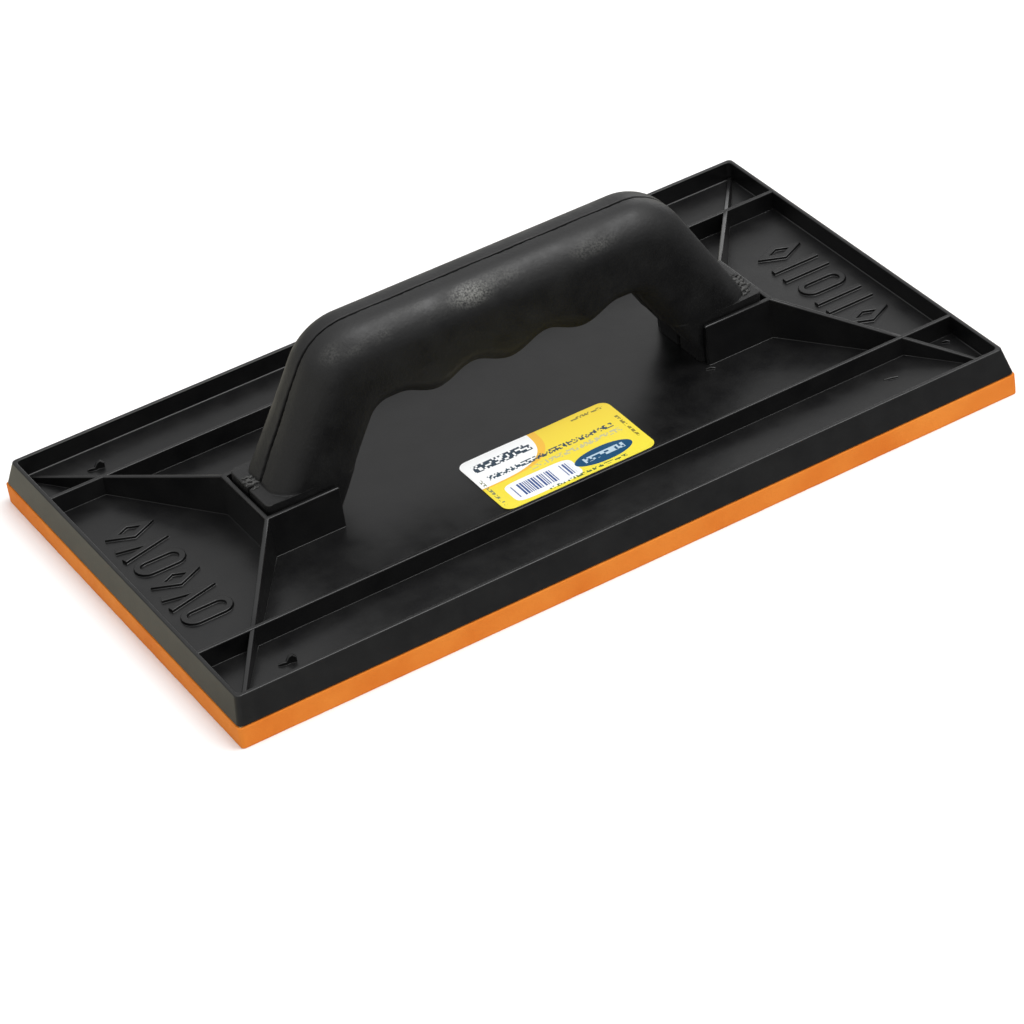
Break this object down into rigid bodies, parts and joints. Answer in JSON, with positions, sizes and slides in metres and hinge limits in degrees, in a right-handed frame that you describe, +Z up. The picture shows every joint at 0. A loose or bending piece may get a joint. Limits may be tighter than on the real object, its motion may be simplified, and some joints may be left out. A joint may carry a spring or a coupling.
{
  "type": "plastering float",
  "caption": "Rectangular plastic plastering float with a ribbed tray, a hollow finger-grooved D handle and an orange foam working face.",
  "frame": {"origin": "centre of the working face, on the surface that the float lies on", "axes": "+X along the length of the float, +Y across it, +Z up through the handle"},
  "size_m": [0.26, 0.15, 0.0661],
  "materials": {
    "black_plastic": "satin moulded",
    "orange_foam": "matt",
    "zinc_steel": "zinc plated",
    "adhesive": "matt film",
    "label_paper": "printed gloss"
  },
  "bodies": {
    "root": {"base_tray": "black_plastic", "handle_shell_near": "black_plastic", "handle_shell_far": "black_plastic", "foot_screw_1": "zinc_steel", "foot_screw_2": "zinc_steel", "foot_screw_3": "zinc_steel", "foot_screw_4": "zinc_steel", "pad_adhesive": "adhesive", "foam_pad": "orange_foam", "label": "label_paper"}
  },
  "joints": []
}
